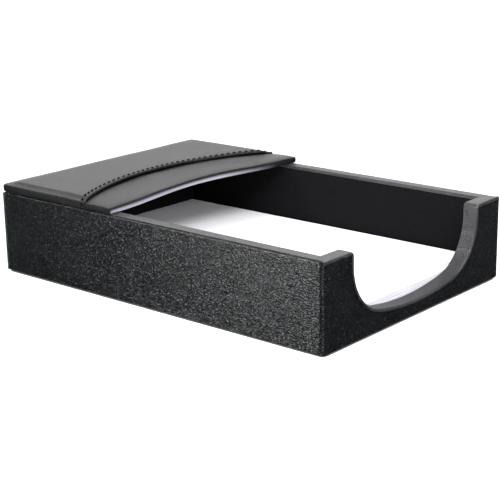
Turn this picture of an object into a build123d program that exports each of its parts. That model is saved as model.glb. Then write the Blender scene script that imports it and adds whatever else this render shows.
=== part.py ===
from build123d import *
import math
import os

os.makedirs("parts", exist_ok=True)

# Leather-covered memo holder: an open paper tray with a finger cut in its front
# wall and a padded top over the rear third. Millimetres, +Z up, front at -Y,
# origin at the middle of the base.

# The paper that the holder is made for
paper_width = 101.6
paper_length = 152.4
stack_height = 5.65
top_sheets_height = 0.5
side_clearance = 1.05
end_clearance = 0.3
loose_length = 2.7

# The layers of a wall, from the outside in
leather_thickness = 1.0
board_thickness = 4.2
lining_thickness = 0.8

# The base
felt_thickness = 0.8
felt_inset = 1.2
felt_corner_radius = 3.0
bottom_board_thickness = 2.6

# The walls' height and their edges
wall_height = 34.5
corner_round = 0.8
corner_wrap = 1.5
edge_thickness = 0.9
edge_lap = 1.3
edge_seam = 0.15
lining_setback = 1.5
binding_proud = 0.3

# The finger cut in the front wall, on its finished edge
post_width = 11.45
cut_corner_radius = 20.7
cut_bottom_radius = 123.5
cut_low_point = 6.7
post_round = 1.8

# The brads that pin the wall boards at the corners
brad_diameter = 1.2
brad_tip_margin = 2.5
brad_low_margin = 8.0
brad_high_margin = 7.0

# The padded top
top_length = 64.1
scoop_depth = 6.8
cover_thickness = 0.7
top_board_thickness = 1.5
cover_turn_in = 9.0
front_foam_thickness = 0.4
flap_foam_thickness = 1.3
top_corner_radius = 1.2
top_edge_round = 0.5
under_edge_round = 0.3

# The stitched flap over the rear of the top
fold_distance = 13.9
fold_rise = 16.3
stitch_length = 2.6
stitch_pitch = 3.8
stitch_width = 0.55
stitch_height = 0.2
stitch_distance = 1.8
stitch_end_margin = 2.0

# Worked out from the sizes above
lining_face = leather_thickness + board_thickness
wall_thickness = lining_face + lining_thickness
well_width = paper_width + 2 * side_clearance
well_length = paper_length + 2 * end_clearance + loose_length
outer_width = well_width + 2 * wall_thickness
outer_length = well_length + 2 * wall_thickness
half_width = outer_width / 2
half_length = outer_length / 2

leather_bottom = felt_thickness
board_bottom = leather_bottom + leather_thickness
board_top = wall_height - edge_thickness
bottom_board_top = leather_bottom + bottom_board_thickness
floor_top = bottom_board_top + lining_thickness
stack_top = floor_top + stack_height

cut_half_width = well_width / 2 - post_width
# The corner arcs end below the rounded tops of the posts
arc_drop = cut_bottom_radius + cut_low_point - (wall_height - 2 * post_round)
corner_radius_limit = (cut_bottom_radius ** 2 - cut_half_width ** 2 - arc_drop ** 2) / (
    2 * (cut_bottom_radius - cut_half_width)
)
corner_radius = min(cut_corner_radius, corner_radius_limit)

top_board_bottom = wall_height + cover_thickness
top_board_top = top_board_bottom + top_board_thickness
front_pad_top = top_board_top + front_foam_thickness + cover_thickness
flap_top = top_board_top + flap_foam_thickness + cover_thickness
top_front = half_length - top_length
fold_side = top_front + fold_distance


def slab(low, high):
    """A plain block between two opposite corners."""
    size = [abs(b - a) for a, b in zip(low, high)]
    middle = [(a + b) / 2 for a, b in zip(low, high)]
    return Pos(*middle) * Box(*size)


def upright(face, low, high):
    """A flat outline in plan, pulled up between two heights."""
    return Pos(0, 0, low) * extrude(face, high - low)


def side_region(side, outer, inner, low, high):
    """One side of the case between two distances in from its outer faces,
    mitred at its two corners."""
    out_x, out_y = half_width - outer, half_length - outer
    in_x, in_y = half_width - inner, half_length - inner
    corners = {
        "left": [(-out_x, -out_y), (-in_x, -in_y), (-in_x, in_y), (-out_x, out_y)],
        "right": [(out_x, -out_y), (out_x, out_y), (in_x, in_y), (in_x, -in_y)],
        "front": [(-out_x, -out_y), (out_x, -out_y), (in_x, -in_y), (-in_x, -in_y)],
        "back": [(-out_x, out_y), (-in_x, in_y), (in_x, in_y), (out_x, out_y)],
    }
    return upright(make_face(Polyline(*corners[side], close=True)), low, high)


def front_outline(offset, reach, bottom):
    """The front wall seen from the front with its finger cut. The edge lies
    offset inside the finished edge, and the wall runs to reach on both sides."""
    half_cut = cut_half_width + offset
    corner = corner_radius + offset
    big = cut_bottom_radius + offset
    low = cut_low_point - offset
    top = wall_height - offset
    soft = max(post_round - offset, edge_seam)
    corner_x = cut_half_width - corner_radius
    big_z = low + big
    corner_z = big_z - math.sqrt((big - corner) ** 2 - corner_x ** 2)
    share = big / (big - corner)
    tangent = (corner_x * share, big_z + (corner_z - big_z) * share)
    lean = math.atan2(corner_z - tangent[1], tangent[0] - corner_x) / 2
    corner_mid = (corner_x + corner * math.cos(lean), corner_z - corner * math.sin(lean))
    soft_centre = (half_cut + soft, top - soft)
    soft_mid = (
        soft_centre[0] - soft * math.sin(math.pi / 4),
        soft_centre[1] + soft * math.sin(math.pi / 4),
    )
    right = [
        Line((reach, bottom), (reach, top)),
        Line((reach, top), (soft_centre[0], top)),
        ThreePointArc((soft_centre[0], top), soft_mid, (half_cut, soft_centre[1])),
        Line((half_cut, soft_centre[1]), (half_cut, corner_z)),
        ThreePointArc((half_cut, corner_z), corner_mid, tangent),
    ]
    left = [mirror(edge, Plane.YZ) for edge in right]
    bottom_arc = ThreePointArc(tangent, (0, low), (-tangent[0], tangent[1]))
    base = Line((-reach, bottom), (reach, bottom))
    return make_face(Curve() + right + left + bottom_arc + base)


def front_slice(face, front, back):
    """A front-wall outline given its place and thickness from front to back."""
    plane = Plane((0, back, 0), x_dir=(1, 0, 0), z_dir=(0, -1, 0))
    return extrude(plane * face, back - front)


def front_band(width, front, back):
    """A band along the post tops and the finger cut."""
    outer = front_slice(front_outline(0, half_width, leather_bottom), front, back)
    inner = front_slice(front_outline(width, half_width, leather_bottom), front, back)
    return outer - inner


def front_edge_y(x, inset):
    """The scooped front edge of the padded top: level at the sides and
    furthest back in the middle."""
    return top_front + inset + scoop_depth / 2 * (1 + math.cos(math.pi * x / half_width))


def top_outline(inset):
    """The padded top in plan, its edge lying inset inside the finished one."""
    side = half_width - inset
    back = half_length - inset
    points = [(x, front_edge_y(x, inset)) for x in (-side, -side / 2, 0, side / 2, side)]
    front_edge = Spline(*points, tangents=[(1, 0), (1, 0)])
    sides = Polyline(points[-1], (side, back), (-side, back), points[0])
    return make_face(Curve() + front_edge + sides)


def rear_region(distance, low, high):
    """The part of the top behind the flap's folded edge, or a distance
    further back than that edge."""
    reach = half_width + top_length
    radius = (half_width ** 2 + fold_rise ** 2) / (2 * fold_rise)
    centre = fold_side + fold_rise - radius
    block = slab((-reach, fold_side, low), (reach, half_length + top_length, high))
    disc = Pos(0, centre, (low + high) / 2) * Cylinder(radius + distance, high - low)
    return block - disc


def rounded_top(top):
    """The padded top's outer form up to one height, with soft edges."""
    form = upright(top_outline(0), wall_height, top)
    form = fillet(form.edges().filter_by(Axis.Z), top_corner_radius)
    upper = form.faces().sort_by(Axis.Z)[-1].edges()
    form = fillet(upper, top_edge_round)
    lower = form.faces().sort_by(Axis.Z)[0].edges()
    return fillet(lower, under_edge_round)


def make_base():
    width = outer_width - 2 * felt_inset
    length = outer_length - 2 * felt_inset
    pad = RectangleRounded(width, length, felt_corner_radius)
    inner_x = half_width - lining_face
    inner_y = half_length - lining_face
    return {
        "base_felt": upright(pad, 0, felt_thickness),
        "bottom_board": slab(
            (-inner_x, -inner_y, leather_bottom), (inner_x, inner_y, bottom_board_top)
        ),
        "floor_lining": slab(
            (-inner_x, -inner_y, bottom_board_top), (inner_x, inner_y, floor_top)
        ),
    }


def make_brads():
    """Two brads at each corner, driven through the side boards into the ends
    of the front and back boards."""
    length = board_thickness + post_width - edge_thickness - brad_tip_margin
    outer_x = half_width - leather_thickness
    y = half_length - leather_thickness - board_thickness / 2
    heights = (board_bottom + brad_low_margin, board_top - brad_high_margin)
    brads = []
    for side in (-1, 1):
        for end in (-1, 1):
            for z in heights:
                place = Pos(side * (outer_x - length / 2), end * y, z)
                brads.append(place * Rot(0, 90, 0) * Cylinder(brad_diameter / 2, length))
    return brads


def make_boards(brads):
    outer_x = half_width - leather_thickness
    outer_y = half_length - leather_thickness
    inner_x = outer_x - board_thickness
    inner_y = outer_y - board_thickness
    front = front_slice(front_outline(edge_thickness, inner_x, board_bottom), -outer_y, -inner_y)
    boards = {
        "left_wall_board": slab((-outer_x, -outer_y, board_bottom), (-inner_x, outer_y, board_top)),
        "right_wall_board": slab((inner_x, -outer_y, board_bottom), (outer_x, outer_y, board_top)),
        "back_wall_board": slab((-inner_x, inner_y, board_bottom), (inner_x, outer_y, board_top)),
        "front_wall_board": front,
    }
    return {name: board - brads for name, board in boards.items()}


def case_envelope(front):
    """The case's outer form with rounded edges, its front face at one place."""
    form = slab((-half_width, front, leather_bottom), (half_width, half_length, wall_height))
    return fillet(form.edges(), corner_round)


def end_panel(end, face):
    """The front or back panel, which wraps a little way round two corners."""
    inner_y = end * (half_length - leather_thickness)
    wrap_y = end * (half_length - corner_wrap)
    panel = face
    for side in (-1, 1):
        panel += slab(
            (side * half_width, inner_y, leather_bottom),
            (side * (half_width - leather_thickness), wrap_y, wall_height),
        )
    return panel


def make_leathers():
    """The outer panels. Each turns in under its wall board, where the base
    felt covers the turned edge."""
    inner_x = half_width - leather_thickness
    inner_y = half_length - leather_thickness
    seam_y = half_length - corner_wrap - edge_seam
    back_face = slab((-half_width, inner_y, leather_bottom), (half_width, half_length, wall_height))
    front_face = front_slice(
        front_outline(edge_thickness, half_width, leather_bottom), -half_length, -inner_y
    )
    side_face = slab((inner_x, -seam_y, leather_bottom), (half_width, seam_y, wall_height))
    faces = {
        "left": mirror(side_face, Plane.YZ),
        "right": side_face,
        "back": end_panel(1, back_face),
        "front": end_panel(-1, front_face),
    }
    envelope = case_envelope(-half_length)
    panels = {}
    for side, face in faces.items():
        turned = side_region(side, leather_thickness, lining_face, leather_bottom, board_bottom)
        panels[side + "_leather"] = (face + turned) & envelope
    return panels


def make_edges():
    """The strips over the wall tops, and the binding of the finger cut."""
    pieces = {}
    for side in ("left", "right", "back"):
        top = side_region(
            side, leather_thickness + edge_seam, wall_thickness, board_top, wall_height
        )
        lap = side_region(
            side, lining_face, wall_thickness, wall_height - edge_lap, wall_height
        )
        pieces[side + "_edge_strip"] = top + lap
    inner_y = half_length - wall_thickness
    lining_y = half_length - lining_face
    binding = front_band(edge_thickness, -half_length, -inner_y)
    binding = binding + front_band(edge_lap, -lining_y, -inner_y)
    front_lap = front_band(edge_lap, -half_length - binding_proud, -half_length)
    corner = (half_width - leather_thickness, -half_length + leather_thickness)
    right_edge = [
        (half_width, -half_length - binding_proud),
        (half_width, corner[1]),
        corner,
        (half_width - wall_thickness, -inner_y),
    ]
    left_edge = [(-x, y) for x, y in reversed(right_edge)]
    footprint = make_face(Polyline(*right_edge, *left_edge, close=True))
    binding = (binding + front_lap) & upright(footprint, 0, wall_height)
    pieces["front_edge_binding"] = binding & case_envelope(-half_length - binding_proud)
    return pieces


def make_linings():
    pieces = {}
    lining_top = wall_height - lining_setback
    for side in ("left", "right", "back", "front"):
        pieces[side + "_lining"] = side_region(
            side, lining_face, wall_thickness, floor_top, lining_top
        )
    outline = front_outline(lining_setback, half_width, 0)
    inner_y = half_length - wall_thickness
    lining_y = half_length - lining_face
    pieces["front_lining"] = pieces["front_lining"] & front_slice(outline, -lining_y, -inner_y)
    return pieces


def make_top():
    """The padded top: a covered board with a thin pad in front and a thicker
    stitched flap behind, lined underneath."""
    high = flap_top + top_length
    board = upright(top_outline(cover_thickness), top_board_bottom, top_board_top)
    lining = upright(top_outline(cover_turn_in), wall_height, top_board_bottom)
    behind_fold = rear_region(0, 0, high)
    flap_pad_region = rear_region(cover_thickness, 0, high)
    front_foam = upright(
        top_outline(cover_thickness), top_board_top, front_pad_top - cover_thickness
    )
    front_foam = front_foam - behind_fold
    flap_foam = upright(top_outline(cover_thickness), top_board_top, flap_top - cover_thickness)
    flap_foam = flap_foam & flap_pad_region
    front_cover = rounded_top(front_pad_top) - behind_fold - board - lining - front_foam
    flap_cover = (rounded_top(flap_top) & behind_fold) - board - lining - flap_foam
    return {
        "top_board": board,
        "top_lining": lining,
        "front_pad_foam": front_foam,
        "front_pad_leather": front_cover,
        "flap_foam": flap_foam,
        "flap_leather": flap_cover,
    }


def make_stitches():
    """A row of stitches a little behind the flap's folded edge."""
    fold_radius = (half_width ** 2 + fold_rise ** 2) / (2 * fold_rise)
    centre = fold_side + fold_rise - fold_radius
    radius = fold_radius + stitch_distance
    widest = math.asin((half_width - stitch_end_margin) / radius)
    step = stitch_pitch / radius
    count = int(widest / step)
    stitches = []
    for i in range(-count, count + 1):
        angle = i * step
        place = Pos(
            radius * math.sin(angle),
            centre + radius * math.cos(angle),
            flap_top + stitch_height / 2,
        )
        turn = Rot(0, 0, -math.degrees(angle))
        stitches.append(place * turn * Box(stitch_length, stitch_width, stitch_height))
    return stitches


def make_paper():
    """The stack stands against the front wall, and the loose top sheets lie
    back against the rear wall."""
    x = paper_width / 2
    front = -well_length / 2 + end_clearance
    back = well_length / 2 - end_clearance
    return {
        "note_stack": slab((-x, front, floor_top), (x, front + paper_length, stack_top)),
        "top_sheets": slab(
            (-x, back - paper_length, stack_top), (x, back, stack_top + top_sheets_height)
        ),
    }


brads = make_brads()
nodes = {
    **make_base(),
    **make_boards(brads),
    "corner_brads": Compound(children=brads),
    **make_leathers(),
    **make_edges(),
    **make_linings(),
    **make_top(),
    "flap_stitching": Compound(children=make_stitches()),
    **make_paper(),
}
for name, shape in nodes.items():
    export_step(shape, "parts/" + name + ".step")
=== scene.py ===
import bmesh
import bpy
import math
import random
from mathutils import Euler, Matrix, Vector, noise


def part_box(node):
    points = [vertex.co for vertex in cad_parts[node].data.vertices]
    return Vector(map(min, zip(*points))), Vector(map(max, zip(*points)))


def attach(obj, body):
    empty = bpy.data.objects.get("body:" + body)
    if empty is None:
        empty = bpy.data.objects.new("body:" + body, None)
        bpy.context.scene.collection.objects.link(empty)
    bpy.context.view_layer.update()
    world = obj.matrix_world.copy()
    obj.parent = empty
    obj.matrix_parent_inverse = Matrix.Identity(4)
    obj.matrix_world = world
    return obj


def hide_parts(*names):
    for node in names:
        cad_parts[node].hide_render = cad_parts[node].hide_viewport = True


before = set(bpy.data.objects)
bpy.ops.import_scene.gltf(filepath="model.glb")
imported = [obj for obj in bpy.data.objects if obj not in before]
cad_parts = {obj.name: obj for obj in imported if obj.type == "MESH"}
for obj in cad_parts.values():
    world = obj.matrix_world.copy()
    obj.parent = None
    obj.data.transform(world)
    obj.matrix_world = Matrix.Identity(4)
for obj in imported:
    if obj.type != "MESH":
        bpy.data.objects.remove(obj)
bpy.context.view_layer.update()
MM = 0.001

# Camera: a longish lens, a little above the desk and to the left of the
# holder's front corner.
camera_place = Vector((-398.8, -343.7, 164.4)) * MM
camera_azimuth = math.radians(-49.38)
camera_elevation = math.radians(16.29)
camera_roll = math.radians(-0.88)
camera = bpy.data.objects.new("camera", bpy.data.cameras.new("camera"))
bpy.context.scene.collection.objects.link(camera)
bpy.context.scene.camera = camera
camera.data.sensor_width = 36
camera.data.lens = 95.7
camera.data.clip_start = 0.01
camera.location = camera_place
camera.rotation_euler = (
    Euler((0, 0, camera_azimuth)).to_matrix()
    @ Euler((math.pi / 2 - camera_elevation, 0, 0)).to_matrix()
    @ Euler((0, 0, camera_roll)).to_matrix()
).to_euler()

# Studio: a plain white floor under a wide soft sun, a backdrop that is bright
# behind the holder and at the far left and else nearly dark, and four small
# panels for the padded top, the well, the left wall's grain and the edges.
bpy.context.scene.view_settings.view_transform = "Standard"
backdrop_side = (0.76, 0.60, 0.25)
backdrop_light = 1.5
backdrop_fade = (0.55, 0.9)
left_side = (-0.90, 0.42, 0.10)
left_light = 1.0
left_fade = (0.94, 0.99)
room_light = 0.03
floor_half = 6
floor_colour = (0.93, 0.93, 0.93)
world = bpy.data.worlds.new("studio")
bpy.context.scene.world = world
world.use_nodes = True
studio = world.node_tree
backdrop = studio.nodes["Background"]
backdrop.inputs["Color"].default_value = (1, 1, 1, 1)
way = studio.nodes.new("ShaderNodeTexCoord")
total = None
for side, light, (start, full) in (
    (backdrop_side, backdrop_light, backdrop_fade),
    (left_side, left_light, left_fade),
):
    facing = studio.nodes.new("ShaderNodeVectorMath")
    facing.operation = "DOT_PRODUCT"
    facing.inputs[1].default_value = Vector(side).normalized()
    studio.links.new(way.outputs["Generated"], facing.inputs[0])
    fade = studio.nodes.new("ShaderNodeMapRange")
    fade.interpolation_type = "SMOOTHSTEP"
    fade.inputs["From Min"].default_value = start
    fade.inputs["From Max"].default_value = full
    fade.inputs["To Max"].default_value = light
    studio.links.new(facing.outputs["Value"], fade.inputs["Value"])
    summed = studio.nodes.new("ShaderNodeMath")
    summed.inputs[1].default_value = room_light
    studio.links.new(fade.outputs["Result"], summed.inputs[0])
    if total:
        studio.links.new(total.outputs["Value"], summed.inputs[1])
    total = summed
studio.links.new(total.outputs["Value"], backdrop.inputs["Strength"])
plain_white = studio.nodes.new("ShaderNodeBackground")
plain_white.inputs["Color"].default_value = (1, 1, 1, 1)
seen = studio.nodes.new("ShaderNodeLightPath")
choose = studio.nodes.new("ShaderNodeMixShader")
studio.links.new(seen.outputs["Is Camera Ray"], choose.inputs["Fac"])
studio.links.new(backdrop.outputs["Background"], choose.inputs[1])
studio.links.new(plain_white.outputs["Background"], choose.inputs[2])
studio.links.new(choose.outputs["Shader"], studio.nodes["World Output"].inputs["Surface"])


def aim(lamp, place, target=(0, 0, 0)):
    """A lamp at one place that faces another and doesn't show itself."""
    holder = bpy.data.objects.new(lamp.name, lamp)
    bpy.context.scene.collection.objects.link(holder)
    holder.location = place
    holder.rotation_euler = (Vector(target) - Vector(place)).to_track_quat("-Z", "Y").to_euler()
    holder.visible_camera = False


def soft_panel(name, size, energy, place, target=(0, 0, 0)):
    """A square panel of light."""
    panel = bpy.data.lights.new(name, "AREA")
    panel.size = size
    panel.energy = energy
    aim(panel, place, target)


overhead = bpy.data.lights.new("overhead", "SUN")
overhead.energy = 3.2
overhead.angle = math.radians(60)
aim(overhead, (-0.30, -0.35, 0.88))
soft_panel("key", 0.2, 3.5, (-0.49, 0.45, 0.61))
soft_panel("well_fill", 0.3, 5, (-0.05, -0.90, 0.38))
soft_panel("grain_light", 0.16, 0.85, (-0.30, 0.06, 0.07), (-0.06, -0.05, 0.02))
soft_panel("edge_light", 0.25, 5, (-0.32, -0.47, 0.56))

floor_mesh = bpy.data.meshes.new("floor")
floor_form = bmesh.new()
bmesh.ops.create_grid(floor_form, x_segments=1, y_segments=1, size=floor_half)
floor_form.to_mesh(floor_mesh)
floor_form.free()
floor = bpy.data.objects.new("floor", floor_mesh)
bpy.context.scene.collection.objects.link(floor)
floor.visible_glossy = False
floor_paint = bpy.data.materials.new("floor_paint")
floor_paint.use_nodes = True
floor_shader = floor_paint.node_tree.nodes["Principled BSDF"]
floor_shader.inputs["Base Color"].default_value = (*floor_colour, 1)
floor_shader.inputs["Roughness"].default_value = 0.9
floor_shader.inputs["Specular IOR Level"].default_value = 0
floor_mesh.materials.append(floor_paint)

# Base: a die-cut pad of pressed black felt, glued under the case and set in
# a little from the walls, so that it shows as a dark line along the bottom. It
# is drawn larger than the CAD felt, as the photo shows it nearly flush.
felt_colour = (0.016, 0.016, 0.017)
felt_dark = (0.009, 0.009, 0.01)
felt_light = (0.03, 0.03, 0.032)
felt_fibre_size = 0.5
felt_nap = 0.12
base_grow = 0.85
base_corner = 2.5


def new_finish(name, colour, roughness, specular=0.5):
    """A material with its shader's plain values set."""
    material = bpy.data.materials.new(name)
    material.use_nodes = True
    shader = material.node_tree.nodes["Principled BSDF"]
    shader.inputs["Base Color"].default_value = (*colour, 1)
    shader.inputs["Roughness"].default_value = roughness
    shader.inputs["Specular IOR Level"].default_value = specular
    return material, shader


def texture(material, kind, settings=(), **inputs):
    """A node of one kind with its inputs set, an underscore for each space."""
    node = material.node_tree.nodes.new("ShaderNode" + kind)
    for key, value in dict(settings).items():
        setattr(node, key, value)
    for key, value in inputs.items():
        node.inputs[key.replace("_", " ")].default_value = value
    return node


def wire(material, source, target):
    material.node_tree.links.new(source, target)


def place_on_object(material, stretch=(1, 1, 1)):
    """Object coordinates, stretched along the three axes."""
    coordinates = texture(material, "TexCoord")
    mapping = texture(material, "Mapping", Scale=stretch)
    wire(material, coordinates.outputs["Object"], mapping.inputs["Vector"])
    return mapping.outputs["Vector"]


def speckle(material, place, size_mm, detail=2.0, rough=0.5):
    """Noise whose features are about one size across."""
    cloud = texture(material, "TexNoise", Scale=1000 / size_mm, Detail=detail, Roughness=rough)
    wire(material, place, cloud.inputs["Vector"])
    return cloud.outputs["Fac"]


def blend_colours(material, shader, factor, dark, light, low=0.3, high=0.7):
    """The base colour runs from dark to light as the factor rises."""
    ramp = texture(material, "ValToRGB")
    ramp.color_ramp.elements[0].position = low
    ramp.color_ramp.elements[0].color = (*dark, 1)
    ramp.color_ramp.elements[1].position = high
    ramp.color_ramp.elements[1].color = (*light, 1)
    wire(material, factor, ramp.inputs["Fac"])
    wire(material, ramp.outputs["Color"], shader.inputs["Base Color"])


def raise_surface(material, shader, height, depth_mm):
    """Bumps of a real depth from a height of 0 to 1."""
    bump = texture(material, "Bump", Strength=1.0, Distance=depth_mm * MM)
    wire(material, height, bump.inputs["Height"])
    wire(material, bump.outputs["Normal"], shader.inputs["Normal"])


def new_piece(form, name):
    """A finished form becomes a smooth-shaded object at the origin."""
    mesh = bpy.data.meshes.new(name)
    form.to_mesh(mesh)
    form.free()
    for face in mesh.polygons:
        face.use_smooth = True
    piece = bpy.data.objects.new(name, mesh)
    bpy.context.scene.collection.objects.link(piece)
    return piece


def settle(piece, material, body, slot_name, *nodes):
    """The piece gets its finish, its body and the CAD nodes that it stands for."""
    if not piece.data.materials:
        piece.data.materials.append(material)
    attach(piece, body)
    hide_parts(*nodes)


felt, felt_shader = new_finish("pressed_felt", felt_colour, 0.95, 0.2)
felt_place = place_on_object(felt)
felt_cloud = speckle(felt, felt_place, felt_fibre_size, 4.0, 0.7)
blend_colours(felt, felt_shader, felt_cloud, felt_dark, felt_light)
raise_surface(felt, felt_shader, felt_cloud, felt_nap)
felt_shader.inputs["Sheen Weight"].default_value = 0.3
felt_shader.inputs["Sheen Roughness"].default_value = 0.6

base_low, base_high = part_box("base_felt")
base_size = base_high - base_low + Vector((2, 2, 0)) * base_grow * MM
form = bmesh.new()
bmesh.ops.create_cube(form, size=1, matrix=Matrix.Diagonal((*base_size, 1)))
bmesh.ops.translate(form, verts=form.verts, vec=(0, 0, base_size.z / 2))
upright = [e for e in form.edges if abs(e.verts[0].co.z - e.verts[1].co.z) > base_size.z / 2]
bmesh.ops.bevel(
    form,
    geom=upright,
    offset=base_corner * MM,
    segments=8,
    profile=0.5,
    affect="EDGES",
    material=-1,
)
base_pad = new_piece(form, "Base_Pad")
settle(base_pad, felt, "case", "base_felt", "base_felt")
for face in base_pad.data.polygons:
    face.use_smooth = abs(face.normal.z) < 0.5

# Boards: the bottom, the four walls and the top are sawn from brown
# fibreboard and glued, and every face is covered in the end.
board_colour = (0.36, 0.24, 0.14)
board_dark = (0.24, 0.15, 0.085)
board_light = (0.47, 0.34, 0.21)
board_nodes = (
    "bottom_board",
    "top_board",
    "left_wall_board",
    "right_wall_board",
    "back_wall_board",
    "front_wall_board",
)


def dress(node, material):
    """A CAD piece that keeps its shape gets its material."""
    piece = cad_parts[node]
    piece.data.materials.clear()
    piece.data.materials.append(material)


fibreboard, fibreboard_shader = new_finish("fibreboard", board_colour, 0.85, 0.3)
board_place = place_on_object(fibreboard)
board_fibres = speckle(fibreboard, board_place, 0.6, 5.0, 0.75)
blend_colours(fibreboard, fibreboard_shader, board_fibres, board_dark, board_light)
raise_surface(fibreboard, fibreboard_shader, board_fibres, 0.06)
for node in board_nodes:
    dress(node, fibreboard)

# Brads: short steel pins, two through each corner into the end of the front
# or back board.
brad_colour = (0.55, 0.55, 0.57)
brad_steel, brad_shader = new_finish("brad_steel", brad_colour, 0.3)
brad_shader.inputs["Metallic"].default_value = 1.0
brad_place = place_on_object(brad_steel, (0.1, 1, 1))
brad_lines = speckle(brad_steel, brad_place, 0.15, 3.0)
raise_surface(brad_steel, brad_shader, brad_lines, 0.01)
dress("corner_brads", brad_steel)

# Case leather: four panels of pebble-grained black leather over the walls.
# The front and back ones wrap round the corners, and all turn in underneath,
# each exposed edge rolled into a small bead.
back_low, back_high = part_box("back_leather")
half_width = back_high.x / MM
half_length = back_high.y / MM
leather_bottom = back_low.z / MM
wall_top = back_high.z / MM
leather_thickness = 1.0
turned_thickness = 1.0
turned_depth = 5.2
corner_wrap = 1.5
corner_seam = 0.15
bead_round = 0.48
seam_round = 0.2
rim_drop = 0.35
case_cell = 0.62
case_depth = 0.1
case_stretch = (1, 0.5, 1)
case_dark = (0.0005, 0.0007, 0.0008)
case_light = (0.0031, 0.0043, 0.0050)
case_rough = (0.2, 0.32)
# strength of the painted glints on the grain's crests
case_glint_paint = 5
pebble_sway = 0.9
pebble_dome = 0.38
# share of painted highlight on pebble tops and painted shade in the creases
pebble_shading = 0.5
pore_share = 0.5
pore_height = 0.2
patch_cells = 14
tone_start = 0.35
tone_full = 1.1
# range of pore crests that get painted glints
glint_start = 0.62
glint_full = 0.72


def spread(material, factor, target, low, high):
    """A factor of 0 to 1 spread over a range and wired to an input."""
    span = texture(material, "MapRange", To_Min=low, To_Max=high)
    wire(material, factor, span.inputs["Value"])
    wire(material, span.outputs["Result"], target)


def grained_leather(name, cell, depth, dark, light, rough, specular, stretch=(1, 1, 1), glint_paint=1):
    """Leather with rounded pebbles and creases between them, over a finer pore
    grain. The pebble tops are painted lighter and the creases darker, as painted
    highlight and shade, over patches of random tone, and the pore grain's crests
    carry painted glints. cell and depth are in millimetres."""
    material, shader = new_finish(name, light, rough[1], specular)
    place = place_on_object(material, stretch)
    sway = texture(material, "TexNoise", Scale=500 / cell, Detail=1.0)
    wire(material, place, sway.inputs["Vector"])
    shift = texture(
        material, "VectorMath", {"operation": "SCALE"}, Scale=pebble_sway * cell * MM
    )
    wire(material, sway.outputs["Color"], shift.inputs["Vector"])
    swayed = texture(material, "VectorMath", {"operation": "ADD"})
    wire(material, place, swayed.inputs[0])
    wire(material, shift.outputs["Vector"], swayed.inputs[1])
    pebbles = texture(
        material, "TexVoronoi", {"feature": "DISTANCE_TO_EDGE"}, Scale=1000 / cell
    )
    wire(material, swayed.outputs["Vector"], pebbles.inputs["Vector"])
    domes = texture(
        material, "MapRange", {"interpolation_type": "SMOOTHSTEP"}, From_Max=pebble_dome
    )
    wire(material, pebbles.outputs["Distance"], domes.inputs["Value"])
    pores = speckle(material, place, cell * pore_share, 2.0, 0.6)
    height = texture(material, "Math", {"operation": "MULTIPLY_ADD"})
    height.inputs[1].default_value = pore_height
    wire(material, pores, height.inputs[0])
    wire(material, domes.outputs["Result"], height.inputs[2])
    raise_surface(material, shader, height.outputs["Value"], depth)
    # painted highlight and shade: the pebble domes make the colour lighter on the tops and darker
    # in the creases, over patches of random tone
    patches = speckle(material, place, cell * patch_cells, 2.0)
    patches_and_shading = texture(material, "Math", {"operation": "MULTIPLY_ADD"})
    patches_and_shading.inputs[1].default_value = pebble_shading
    wire(material, domes.outputs["Result"], patches_and_shading.inputs[0])
    wire(material, patches, patches_and_shading.inputs[2])
    blend_colours(material, shader, patches_and_shading.outputs["Value"], dark, light, tone_start, tone_full)
    base = shader.inputs["Base Color"].links[0].from_socket
    # painted glints: the crests of the pore grain are painted with a multiple of the light colour
    glint_mask = texture(material, "MapRange", From_Min=glint_start, From_Max=glint_full)
    wire(material, pores, glint_mask.inputs["Value"])
    painted_glints = texture(material, "MixRGB", Color2=(*[glint_paint * c for c in light], 1))
    wire(material, glint_mask.outputs["Result"], painted_glints.inputs["Fac"])
    wire(material, base, painted_glints.inputs["Color1"])
    wire(material, painted_glints.outputs["Color"], shader.inputs["Base Color"])
    spread(material, pores, shader.inputs["Roughness"], *rough)
    return material


def even_shading(piece):
    """Flat faces stay flat beside their soft edges."""
    weights = piece.modifiers.new("even_shading", "WEIGHTED_NORMAL")
    weights.weight = 100
    return piece


def moved(made):
    """The vertices among an operator's new parts."""
    return [part for part in made if isinstance(part, bmesh.types.BMVert)]


def near(a, b):
    return abs(a - b) < 0.01


def soften(form, radius, chosen):
    """The sharp edges whose two ends both pass one of the tests are rounded."""
    edges = [
        edge
        for edge in form.edges
        if any(all(test(*(v.co / MM)) for v in edge.verts) for test in chosen)
        and len(edge.link_faces) == 2
        and edge.calc_face_angle() > 0.5
    ]
    bmesh.ops.bevel(
        form,
        geom=edges,
        offset=radius * MM,
        segments=4,
        profile=0.5,
        affect="EDGES",
        material=-1,
        clamp_overlap=True,
    )


def run_along(side, section, end_at):
    """A section drawn along a wall. Its points are a depth in from the case's
    outer face and a height, and end_at says how far each depth reaches."""
    form = bmesh.new()
    corners = []
    for depth, height in section:
        reach = -end_at(depth)
        if side == "back":
            spot = (reach, half_length - depth, height)
        elif side == "left":
            spot = (depth - half_width, reach, height)
        else:
            spot = (half_width - depth, reach, height)
        corners.append(form.verts.new(Vector(spot) * MM))
    face = form.faces.new(corners)
    far = moved(bmesh.ops.extrude_face_region(form, geom=[face])["geom"])
    for vert in far:
        if side == "back":
            vert.co.x = -vert.co.x
        else:
            vert.co.y = -vert.co.y
    bmesh.ops.recalc_face_normals(form, faces=form.faces)
    return form


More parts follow.
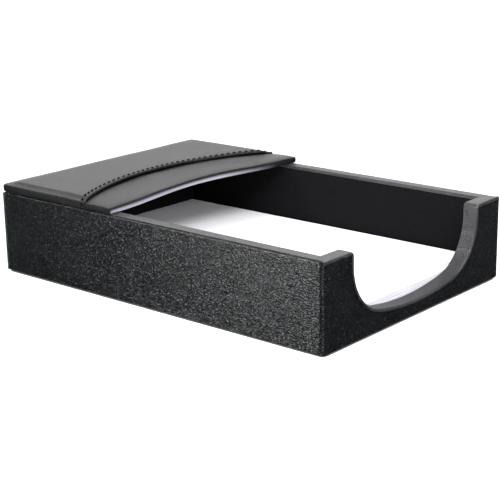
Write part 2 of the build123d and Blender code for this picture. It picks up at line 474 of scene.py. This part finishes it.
def wrap_corners(form, end):
    """The ends of the front or back panel fold on round the case's corners."""
    inner = end * (half_length - leather_thickness)
    for side in (-1, 1):
        cut = side * (half_width - leather_thickness) * MM
        everything = [*form.verts, *form.edges, *form.faces]
        bmesh.ops.bisect_plane(form, geom=everything, plane_co=(cut, 0, 0), plane_no=(1, 0, 0))
    ends = [
        face
        for face in form.faces
        if all(near(v.co.y / MM, inner) for v in face.verts)
        and abs(face.calc_center_median().x / MM) > half_width - leather_thickness
    ]
    for face in ends:
        pulled = moved(bmesh.ops.extrude_face_region(form, geom=[face])["geom"])
        bmesh.ops.translate(
            form, verts=pulled, vec=(0, end * (leather_thickness - corner_wrap) * MM, 0)
        )
    bmesh.ops.recalc_face_normals(form, faces=form.faces)


def on_rim(x, y, z):
    return near(z, wall_top - rim_drop)


def on_side_face(x, y, z):
    return near(abs(x), half_width)


def on_end_face(x, y, z):
    return near(abs(y), half_length)


case_leather = grained_leather(
    "case_leather",
    case_cell,
    case_depth,
    case_dark,
    case_light,
    case_rough,
    0.5,
    case_stretch,
    case_glint_paint,
)
rim_top = wall_top - rim_drop
panel_section = [
    (0, leather_bottom),
    (0, rim_top),
    (leather_thickness, rim_top),
    (leather_thickness, leather_bottom + turned_thickness),
    (turned_depth, leather_bottom + turned_thickness),
    (turned_depth, leather_bottom),
]
side_reach = half_length - corner_wrap - corner_seam
for side in ("left", "right"):
    form = run_along(
        side, panel_section, lambda depth: side_reach - max(depth - leather_thickness, 0)
    )
    soften(form, bead_round, (on_rim,))
    soften(form, seam_round, (on_side_face,))
    panel = even_shading(new_piece(form, side.title() + "_Leather"))
    settle(panel, case_leather, "case", "case_leather", side + "_leather")
form = run_along(
    "back", panel_section, lambda depth: half_width - max(depth - leather_thickness, 0)
)
wrap_corners(form, 1)
soften(form, bead_round, (on_side_face, on_end_face, on_rim))
panel = even_shading(new_piece(form, "Back_Leather"))
settle(panel, case_leather, "case", "case_leather", "back_leather")

# Front leather: the same leather over the front wall, cut out in a wide
# rounded dip for the finger and trimmed level under its binding.
cut_half = 40.4
cut_corner = (19.7, 29.3)
cut_corner_radius = 20.7
cut_bottom_radius = 123.5
cut_low = 6.7
post_round = 1.8
binding_thickness = 0.9
bottom_steps = 8
corner_steps = 18
post_steps = 6


def cut_line(offset, end_x):
    """Half of the finger cut's line, from its lowest point up over the right
    post to an end, a given distance into the wall."""
    turn = math.asin(cut_corner[0] / (cut_bottom_radius - cut_corner_radius))
    bottom = cut_bottom_radius + offset
    corner = cut_corner_radius + offset
    post = post_round - offset
    line = []
    for i in range(bottom_steps):
        angle = turn * i / bottom_steps
        low = cut_low + cut_bottom_radius - bottom * math.cos(angle)
        line.append((bottom * math.sin(angle), low))
    for i in range(corner_steps + 1):
        angle = turn + (math.pi / 2 - turn) * i / corner_steps
        across = cut_corner[0] + corner * math.sin(angle)
        line.append((across, cut_corner[1] - corner * math.cos(angle)))
    for i in range(post_steps + 1):
        angle = math.pi / 2 * i / post_steps
        across = cut_half + post_round - post * math.cos(angle)
        line.append((across, wall_top - post_round + post * math.sin(angle)))
    line.append((end_x, wall_top - offset))
    return line


def on_lower_front_edge(x, y, z):
    return near(y, front_face) and near(z, leather_bottom)


front_face = -half_length
post_end = half_width - leather_thickness
right_half = [*cut_line(binding_thickness, post_end), (post_end, rim_top), (half_width, rim_top)]
left_half = [(-x, z) for x, z in reversed(right_half[1:])]
outline = [*left_half, *right_half, (half_width, leather_bottom), (-half_width, leather_bottom)]
form = bmesh.new()
corners = [form.verts.new(Vector((x, front_face, z)) * MM) for x, z in outline]
face = form.faces.new(corners)
inner = moved(bmesh.ops.extrude_face_region(form, geom=[face])["geom"])
bmesh.ops.translate(form, verts=inner, vec=(0, leather_thickness * MM, 0))
turn_height = (leather_bottom + turned_thickness) * MM
everything = [*form.verts, *form.edges, *form.faces]
bmesh.ops.bisect_plane(form, geom=everything, plane_co=(0, 0, turn_height), plane_no=(0, 0, 1))
turned_faces = [
    face
    for face in form.faces
    if all(near(v.co.y / MM, front_face + leather_thickness) for v in face.verts)
    and face.calc_center_median().z < turn_height
]
pulled = moved(bmesh.ops.extrude_face_region(form, geom=turned_faces)["geom"])
for vert in pulled:
    vert.co.y += (turned_depth - leather_thickness) * MM
    vert.co.x -= math.copysign(turned_depth * MM, vert.co.x)
bmesh.ops.recalc_face_normals(form, faces=form.faces)
wrap_corners(form, -1)
soften(form, seam_round, (on_side_face, on_lower_front_edge))
panel = even_shading(new_piece(form, "Front_Leather"))
settle(panel, case_leather, "case", "case_leather", "front_leather")

# Well lining: thin card covered in black short-napped cloth, cut to each wall
# and to the floor, and set just under the strips along the wall tops.
lining_dark = (0.0007, 0.0007, 0.0010)
lining_light = (0.0045, 0.0045, 0.0066)
lining_fibre_size = 0.55
lining_nap = 0.14
lining_outer = 5.2
lining_inner = 6.0
lining_round = 0.15
well_low, well_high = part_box("left_lining")
lining_bottom = well_low.z / MM
lining_top = well_high.z / MM
lining, lining_shader = new_finish("napped_lining", lining_light, 0.85, 0.1)
lining_place = place_on_object(lining)
lining_cloud = speckle(lining, lining_place, lining_fibre_size, 4.0, 0.7)
blend_colours(lining, lining_shader, lining_cloud, lining_dark, lining_light, 0.35, 0.75)
raise_surface(lining, lining_shader, lining_cloud, lining_nap)
lining_shader.inputs["Sheen Weight"].default_value = 0.02
lining_shader.inputs["Sheen Roughness"].default_value = 0.5
lining_section = [
    (lining_outer, lining_bottom),
    (lining_outer, lining_top),
    (lining_inner, lining_top),
    (lining_inner, lining_bottom),
]


def mitred(side):
    """A piece that meets its neighbours on the diagonal at each corner."""
    whole = half_width if side == "back" else half_length
    return lambda depth: whole - depth


def on_lining_top(x, y, z):
    return near(z, lining_top)


for side in ("left", "right", "back"):
    form = run_along(side, lining_section, mitred(side))
    soften(form, lining_round, (on_lining_top,))
    panel = even_shading(new_piece(form, side.title() + "_Lining"))
    settle(panel, lining, "case", "lining", side + "_lining")
for node in ("floor_lining", "top_lining", "front_lining"):
    dress(node, lining)

# Edge strips: narrow strips of finer leather laid over the wall tops and
# lapped down inside, mitred at the corners and rolled at both edges.
edge_cell = 0.55
edge_depth = 0.16
edge_dark = (0.005, 0.005, 0.006)
edge_light = (0.016, 0.016, 0.018)
edge_rough = (0.24, 0.38)
# strength of the painted glints on the strips' grain
edge_glint_paint = 4
strip_outer = leather_thickness + corner_seam
strip_outer_round = 0.14
strip_round = 0.4
strip_lap = 1.5
strip_lap_round = 0.25
mitre_gap = 0.1
edge_leather = grained_leather(
    "edge_leather",
    edge_cell,
    edge_depth,
    edge_dark,
    edge_light,
    edge_rough,
    0.75,
    glint_paint=edge_glint_paint,
)
strip_section = [
    (strip_outer, wall_top - binding_thickness),
    (strip_outer, wall_top),
    (lining_inner, wall_top),
    (lining_inner, wall_top - strip_lap),
    (lining_outer, wall_top - strip_lap),
    (lining_outer, wall_top - binding_thickness),
]


def depth_at(x, y):
    return min(half_width - abs(x), half_length - abs(y))


def on_strip_outer_edge(x, y, z):
    return near(z, wall_top) and near(depth_at(x, y), strip_outer)


def on_strip_inner_edge(x, y, z):
    return near(z, wall_top) and near(depth_at(x, y), lining_inner)


def on_strip_lap(x, y, z):
    return near(z, wall_top - strip_lap)


for side in ("left", "right", "back"):
    reach = mitred(side)
    form = run_along(side, strip_section, lambda depth: reach(depth) - mitre_gap)
    soften(form, strip_outer_round, (on_strip_outer_edge,))
    soften(form, strip_round, (on_strip_inner_edge,))
    soften(form, strip_lap_round, (on_strip_lap,))
    strip = even_shading(new_piece(form, side.title() + "_Edge_Strip"))
    settle(strip, edge_leather, "case", "edge_leather", side + "_edge_strip")

# Front binding: one strip of the finer leather that covers both post tops and
# the whole finger cut, lapped a little over the wall's front and inner faces.
front_lap = 1.3
front_proud = 0.3
front_round = 0.75
inner_round = 0.4
lap_chamfer = 0.12
end_short = 0.1
end_round = 0.3
quarter_steps = 4


def quarter(centre, radius, start):
    """Points of a quarter turn, from a starting angle in degrees."""
    turn = [math.radians(start - 90 / quarter_steps * i) for i in range(quarter_steps + 1)]
    return [(centre[0] + radius * math.cos(a), centre[1] + radius * math.sin(a)) for a in turn]


lap_front = front_face - front_proud
well_face = front_face + lining_inner
back_of_lap = front_face + lining_outer
binding_section = [
    (binding_thickness, front_face),
    (front_lap, front_face),
    (front_lap, lap_front + lap_chamfer),
    (front_lap - lap_chamfer, lap_front),
    *quarter((front_round, lap_front + front_round), front_round, 270),
    *quarter((inner_round, well_face - inner_round), inner_round, 180),
    (front_lap, well_face),
    (front_lap, back_of_lap),
    (binding_thickness, back_of_lap),
]


def binding_end(y):
    """How far out a post's top reaches: to the outer corner, then back along
    the mitre."""
    past_corner = y - front_face - leather_thickness
    if past_corner < 0:
        return half_width - end_short
    return half_width - leather_thickness - past_corner - mitre_gap


def on_binding_end(x, y, z):
    return near(abs(x), half_width - end_short)


rings = 2 * len(cut_line(0, 0)) - 1
form = bmesh.new()
bmesh.ops.create_cone(
    form, cap_ends=True, segments=len(binding_section), radius1=1, radius2=1, depth=1
)
lengthwise = [e for e in form.edges if not near(e.verts[0].co.z, e.verts[1].co.z)]
bmesh.ops.subdivide_edges(form, edges=lengthwise, cuts=rings - 2)
for vert in form.verts:
    place = round(math.atan2(vert.co.y, vert.co.x) / (2 * math.pi) * len(binding_section))
    offset, y = binding_section[place % len(binding_section)]
    step = round((vert.co.z + 0.5) * (rings - 1)) - rings // 2
    x, z = cut_line(offset, binding_end(y))[abs(step)]
    if abs(step) == rings // 2:
        y = max(y, front_face)
    vert.co = Vector((math.copysign(x, step), y, z)) * MM
bmesh.ops.recalc_face_normals(form, faces=form.faces)
soften(form, end_round, (on_binding_end,))
binding = even_shading(new_piece(form, "Front_Edge_Binding"))
settle(binding, edge_leather, "case", "edge_leather", "front_edge_binding")

# Front pad: the fore part of the padded top, fine-grained leather over a thin
# foam, rounded over its scooped front edge and turned in underneath. Its lower
# front edge has a pale lavender reflection of the paper painted on, fading out
# to the right.
top_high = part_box("flap_leather")[1]
pad_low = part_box("front_pad_leather")[0]
top_half = top_high.x / MM
top_back = top_high.y / MM
top_bottom = pad_low.z / MM
top_front = pad_low.y / MM
scoop_depth = 6.8
fold_distance = 13.9
fold_rise = 16.3
fold_radius = (top_half ** 2 + fold_rise ** 2) / (2 * fold_rise)
fold_centre = top_front + fold_distance + fold_rise - fold_radius
pad_plane = 37.65
pad_shoulder = 0.45
pad_shoulder_width = 1.8
pad_dip = 0.6
pad_dip_width = 3
pad_waves = 0.22
pad_round = 0.6
pad_under_round = 0.65
pad_tuck = 2.4
turn_in = 9.0
turned_lift = 0.05
pad_columns = 72
pad_rows = 26
round_steps = 4
side_rings = 2 * round_steps + 1
# first ring of the front edge that gets the painted reflection of the paper
reflection_from_ring = 5
top_cell = 0.42
top_depth = 0.08
top_dark = (0.0015, 0.0015, 0.0018)
top_light = (0.006, 0.006, 0.0065)
top_rough = (0.25, 0.38)
top_specular = 0.25
# painted reflection of the paper on the pad's lower front edge, not a colour of the leather
painted_paper_reflection = (0.33, 0.32, 0.38)


def front_edge_y(x):
    return top_front + scoop_depth / 2 * (1 + math.cos(math.pi * x / top_half))


def fold_y(x):
    return fold_centre + math.sqrt(max(fold_radius ** 2 - x ** 2, 0))


def cushion(name, columns, rows, place, rings, reflection_share=None):
    """A closed padded form: a grid over the top, then one ring after another
    down its sides and in underneath. place turns grid position and ring into
    a point, in millimetres, and the share function, if given, into how strongly
    a reflection of the paper is painted onto the leather there."""
    form = bmesh.new()
    bmesh.ops.create_grid(form, x_segments=columns, y_segments=rows, size=1)
    rim = [e for e in form.edges if e.is_boundary]
    for _ in range(rings):
        pulled = bmesh.ops.extrude_edge_only(form, edges=rim)["geom"]
        bmesh.ops.translate(form, verts=moved(pulled), vec=(0, 0, -1))
        rim = [part for part in pulled if isinstance(part, bmesh.types.BMEdge)]
    bmesh.ops.triangle_fill(form, edges=rim, use_beauty=True)
    if reflection_share:
        painted_reflection = form.verts.layers.float.new("painted_reflection")
    for vert in form.verts:
        spot = (vert.co.x, vert.co.y, round(-vert.co.z))
        if reflection_share:
            vert[painted_reflection] = reflection_share(*spot)
        vert.co = Vector(place(*spot)) * MM
    bmesh.ops.recalc_face_normals(form, faces=form.faces)
    piece = new_piece(form, name)
    smoother = piece.modifiers.new("smoother", "SUBSURF")
    smoother.levels = 1
    smoother.render_levels = 1
    return piece


def ring_profile(ring, top_round, under_round, top_z, bottom_z, turned):
    """Inset and height of one ring: a quarter round at the top, a straight
    side, a quarter round at the bottom and the turned-in edge."""
    if ring <= round_steps:
        angle = ring / round_steps * math.pi / 2
        return top_round * (1 - math.sin(angle)), top_z - top_round * (1 - math.cos(angle))
    if ring <= 2 * round_steps:
        angle = (ring - round_steps - 1) / (round_steps - 1) * math.pi / 2
        inset = under_round * (1 - math.cos(angle))
        return inset, bottom_z + under_round * (1 - math.sin(angle))
    return turned, bottom_z


def wave(x, y, height, length, width, layer):
    """A slow unevenness of the leather, a pattern of its own for each layer."""
    return height * noise.noise(Vector((x / length, y / width, layer)))


def pad_height(x, y):
    """The pad's upper face: a shoulder at the open edges, a shallow valley
    along the fold and a few faint waves."""
    side = top_half - abs(x)
    ahead = y - front_edge_y(x)
    behind = fold_y(x) - y
    shoulder = math.exp(-side / pad_shoulder_width) + math.exp(-ahead / pad_shoulder_width)
    dip = math.exp(-max(behind, 0) / pad_dip_width)
    waves = wave(x, y, pad_waves, length=17, width=11, layer=1.7)
    return pad_plane - pad_shoulder * min(shoulder, 1) - pad_dip * dip + waves


def pad_place(u, v, ring):
    share = (v + 1) / 2
    x0 = u * (top_half - pad_round)
    front0 = front_edge_y(x0) + pad_round
    back0 = fold_y(x0) + pad_tuck - pad_round
    y0 = front0 + share * (back0 - front0)
    top_z = pad_height(x0, y0)
    if ring == 0:
        return x0, y0, top_z
    inset, z = ring_profile(
        ring, pad_round, pad_under_round, top_z, top_bottom + turned_lift, turn_in
    )
    x = u * (top_half - inset)
    front = front_edge_y(x) + inset
    back = fold_y(x) + pad_tuck - inset
    return x, front + share * (back - front), z


def paper_reflection_along_front(u, v, ring):
    """Painted reflection of the paper on the lower front edge: strong at the left, fading out to
    the right.
    """
    if v >= -0.999 or u <= -0.98 or not reflection_from_ring <= ring < side_rings:
        return 0
    return min(max(1.4 - 1.8 * u, 0), 1)


top_finish = (top_cell, top_depth, top_dark, top_light, top_rough, top_specular)
top_leather = grained_leather("top_leather", *top_finish)
pad_leather = grained_leather("pad_leather", *top_finish)
pad_shader = pad_leather.node_tree.nodes["Principled BSDF"]
grained = pad_shader.inputs["Base Color"].links[0].from_socket
# the pad's leather mixes in the painted reflection of the paper wherever the mesh attribute asks
# for it
reflection_mask = texture(pad_leather, "Attribute", {"attribute_name": "painted_reflection"})
reflection_mix = texture(pad_leather, "MixRGB", Color2=(*painted_paper_reflection, 1))
wire(pad_leather, reflection_mask.outputs["Fac"], reflection_mix.inputs["Fac"])
wire(pad_leather, grained, reflection_mix.inputs["Color1"])
wire(pad_leather, reflection_mix.outputs["Color"], pad_shader.inputs["Base Color"])
front_pad = cushion(
    "Front_Pad", pad_columns, pad_rows, pad_place, side_rings, paper_reflection_along_front
)
settle(front_pad, pad_leather, "case", "top_leather", "front_pad_leather")

# Flap: the rear part of the padded top, the same leather over a thicker foam.
# Its curved front edge is folded under and stitched down over the pad.
flap_plane = 38.5
flap_shoulder = 0.9
flap_round = 0.65
flap_under_round = 0.55
flap_proud = 0.15
flap_waves = 0.12
corner_arc = 1.8
border_width = 3.8
border_fall = 0.24
crease_depth = 0.42
crease_width = 0.25
fold_round = 0.72
fold_steps = 6
fold_undercut = 2.2
fold_tuck = 0.3
plump_height = 0.12
plump_distance = 0.7
plump_width = 0.6
swell_height = 0.1
swell_width = 4
stitch_distance = 1.9
stitch_groove = 0.12
groove_width = 0.55
flap_columns = 84
flap_rows = 44
row_crowding = 1.9


def border_step(inward):
    """The leather dips over the foam's edge and rolls down at its own."""
    crease = crease_depth / (1 + math.exp((inward - border_width) / crease_width))
    return crease + border_fall * max(border_width - inward, 0)


def flap_height(x, y):
    """The flap's upper face: a shoulder at the sides and rear, a plump edge
    at the fold and a groove pulled down by the stitches."""
    side = top_half - abs(x)
    rear = top_back - y
    behind = y - fold_y(x)
    shoulder = flap_shoulder * min(border_step(side) + border_step(rear), 1)
    groove = stitch_groove * math.exp(-(((behind - stitch_distance) / groove_width) ** 2))
    plump = plump_height * math.exp(-(((behind - plump_distance) / plump_width) ** 2))
    swell = swell_height * (1 - math.exp(-max(behind - stitch_distance, 0) / swell_width))
    waves = wave(x, y, flap_waves, length=19, width=14, layer=5.1)
    return flap_plane - shoulder - groove + plump + swell + waves


def round_corner(x, y, inset):
    """A point near one of the flap's rear corners moves in onto its arc."""
    across = abs(x) - (top_half + flap_proud - inset - corner_arc)
    along = y - (top_back - inset - corner_arc)
    if across <= 0 or along <= 0:
        return x, y
    pull = 1 - max(across, along) / math.hypot(across, along)
    return math.copysign(abs(x) - pull * across, x), y - pull * along


def flap_place(u, v, ring):
    share = ((v + 1) / 2) ** row_crowding
    x0 = math.sin(u * math.pi / 2) * (top_half - flap_round)
    front0 = fold_y(x0) + fold_round
    back0 = top_back - flap_round
    y0 = front0 + share * (back0 - front0)
    top_z = flap_height(x0, y0)
    if ring == 0:
        return *round_corner(x0, y0, flap_round), top_z
    inset, z = ring_profile(
        ring, flap_round, flap_under_round, top_z, top_bottom + turned_lift, turn_in
    )
    x = math.sin(u * math.pi / 2) * (top_half + flap_proud - inset)
    back = top_back - inset
    at_front = v < -0.999
    if at_front and abs(u) < 0.999:
        angle = min(ring, fold_steps) / fold_steps * math.pi
        inset = fold_round * (1 - math.sin(angle))
        z = top_z - fold_round * (1 - math.cos(angle))
        if ring > fold_steps:
            inset = fold_undercut
            z = min(z, top_z - 2 * fold_round) - (ring - fold_steps) * fold_tuck
    elif at_front:
        inset = 0 if ring < side_rings else turn_in
    front = fold_y(x) + inset
    return *round_corner(x, front + share * (back - front), inset), z


flap = cushion("Flap", flap_columns, flap_rows, flap_place, side_rings)
settle(flap, top_leather, "case", "top_leather", "flap_leather")

# Foams: two thin sheets of grey closed-cell foam under the leather of the
# pad and of the flap, pressed thin at their edges.
foam_lift = 0.75
foam_margin = 1.6
foam_least = 0.05
foam_cell = 0.5
foam_colour = (0.5, 0.5, 0.51)
foam_columns = 48
foam_rows = 20
fold_clearance = 0.2
flap_foam_start = 2.9
foam, foam_shader = new_finish("closed_cell_foam", foam_colour, 0.8, 0.3)
foam_place = place_on_object(foam)
foam_cells = texture(foam, "TexVoronoi", Scale=1000 / foam_cell)
wire(foam, foam_place, foam_cells.inputs["Vector"])
raise_surface(foam, foam_shader, foam_cells.outputs["Distance"], 0.06)
foam_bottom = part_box("top_board")[1].z / MM


def foam_sheet(name, front, back, height):
    """A thin sheet that follows the leather's upper face from below."""

    def place(u, v, ring):
        share = (v + 1) / 2
        x = u * (top_half - foam_margin)
        y = front(x) + share * (back(x) - front(x))
        if ring:
            return x, y, foam_bottom
        return x, y, max(height(x, y) - foam_lift, foam_bottom + foam_least)

    return cushion(name, foam_columns, foam_rows, place, rings=1)


pad_foam = foam_sheet(
    "Pad_Foam",
    lambda x: front_edge_y(x) + foam_margin,
    lambda x: fold_y(x) - fold_clearance,
    pad_height,
)
settle(pad_foam, foam, "case", "foam", "front_pad_foam")
flap_foam = foam_sheet(
    "Flap_Foam",
    lambda x: fold_y(x) + flap_foam_start,
    lambda x: top_back - foam_margin,
    flap_height,
)
settle(flap_foam, foam, "case", "foam", "flap_foam")

# Stitching: one row of black waxed thread a little behind the fold, each
# stitch sunk into the groove, and one more stitch down each side.
stitch_pitch = 3.0
stitch_slack = 0.8
slack_from = 10
slack_over = 15
stitch_share = 0.62
stitch_slant = math.radians(9)
stitch_rise = 0.12
row_start = 2.0
row_end = 1.2
side_stitch_length = 1.7
side_stitch_height = 36.3
side_stitch_forward = 0.3
thread_width = 0.85
thread_height = 0.8
thread_colour = (0.0015, 0.0015, 0.0018)
thread, thread_shader = new_finish("waxed_thread", thread_colour, 0.9, 0)
thread_place = place_on_object(thread)
thread_twist = speckle(thread, thread_place, 0.18, 2.0)
raise_surface(thread, thread_shader, thread_twist, 0.04)


def stitch(form, place, length_mm, turn):
    """One stitch: a short fat strand that dips at both ends."""
    made = bmesh.ops.create_uvsphere(form, u_segments=10, v_segments=8, radius=0.5)["verts"]
    shape = (
        Matrix.Translation(place)
        @ turn
        @ Matrix.Diagonal((length_mm * MM, thread_width * MM, thread_height * MM, 1))
    )
    bmesh.ops.transform(form, matrix=shape, verts=made)


stitches = bmesh.new()
stitch_radius = fold_radius + stitch_distance
angle = -math.asin((top_half - row_start) / stitch_radius)
while angle < math.asin((top_half - row_end) / stitch_radius):
    x = stitch_radius * math.sin(angle)
    y = fold_centre + stitch_radius * math.cos(angle)
    spot = Vector((x, y, flap_height(x, y) + stitch_rise)) * MM
    pitch = stitch_pitch + stitch_slack * min(max((-x - slack_from) / slack_over, 0), 1)
    stitch(stitches, spot, stitch_share * pitch, Matrix.Rotation(stitch_slant - angle, 4, "Z"))
    angle += pitch / stitch_radius
for side in (-1, 1):
    y = fold_y(top_half) + stitch_distance - side_stitch_forward
    spot = Vector((side * (top_half + stitch_rise), y, side_stitch_height)) * MM
    stitch(stitches, spot, side_stitch_length, Matrix.Rotation(math.pi / 2, 4, "Y"))
row = new_piece(stitches, "Stitch_Row")
settle(row, thread, "case", "thread", "flap_stitching")

# Paper: a stack of loose white sheets cut to one size, none quite in line with
# the next, and a few more on top that lie a little further back.
paper_dark = (0.82, 0.82, 0.86)
paper_light = (0.88, 0.88, 0.91)
# painted shade: the sheets' cut edges are painted grey, in lines, standing in for the dark gaps
# between the sheets
cut_shade_dark = (0.42, 0.42, 0.46)
cut_shade_light = (0.6, 0.6, 0.63)
cut_shade_colour = (0.52, 0.52, 0.56)
sheet_shift = 0.22
sheet_share = 0.86
paper, paper_shader = new_finish("writing_paper", paper_light, 0.75, 0.2)
paper_place = place_on_object(paper)
paper_fibres = speckle(paper, paper_place, 0.7, 4.0, 0.6)
blend_colours(paper, paper_shader, paper_fibres, paper_dark, paper_light, 0.2, 0.6)
raise_surface(paper, paper_shader, paper_fibres, 0.012)
# the edge finish carries the painted shade of the gaps between the sheets
shaded_cut_edges, cut_shader = new_finish("paper_cut_edges_painted_shade", cut_shade_colour, 0.85, 0.1)
cut_place = place_on_object(shaded_cut_edges, (0.02, 0.02, 1))
shade_lines = speckle(shaded_cut_edges, cut_place, 0.3, 3.0)
blend_colours(shaded_cut_edges, cut_shader, shade_lines, cut_shade_dark, cut_shade_light)


def sheet_pile(name, node, count, seed):
    """Flat sheets piled inside a CAD block, each shifted a little."""
    low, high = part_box(node)
    shifts = random.Random(seed)
    rise = (high.z - low.z) / count
    form = bmesh.new()
    for i in range(count):
        made = bmesh.ops.create_cube(form, size=1)["verts"]
        shift_x = shifts.uniform(-1, 1) * sheet_shift * MM
        shift_y = shifts.uniform(-1, 1) * sheet_shift * MM
        if i == count - 1:
            shift_x = shift_y = 0
        size = Vector((high.x - low.x, high.y - low.y, rise * sheet_share))
        size.x -= 2 * abs(shift_x)
        size.y -= 2 * abs(shift_y)
        middle = Vector(((low.x + high.x) / 2 + shift_x, (low.y + high.y) / 2 + shift_y, 0))
        middle.z = high.z - (count - 1 - i) * rise - size.z / 2
        bmesh.ops.transform(
            form, matrix=Matrix.Translation(middle) @ Matrix.Diagonal((*size, 1)), verts=made
        )
    pile = new_piece(form, name)
    pile.data.materials.append(paper)
    pile.data.materials.append(shaded_cut_edges)
    for face in pile.data.polygons:
        face.use_smooth = False
        # the sides of the sheets get the edge finish with its painted shade
        face.material_index = int(abs(face.normal.z) < 0.5)
    return pile


pile = sheet_pile("Note_Sheets", "note_stack", count=32, seed=4)
settle(pile, paper, "note_stack", "paper", "note_stack")
loose = sheet_pile("Loose_Sheets", "top_sheets", count=3, seed=9)
settle(loose, paper, "top_sheets", "paper", "top_sheets")
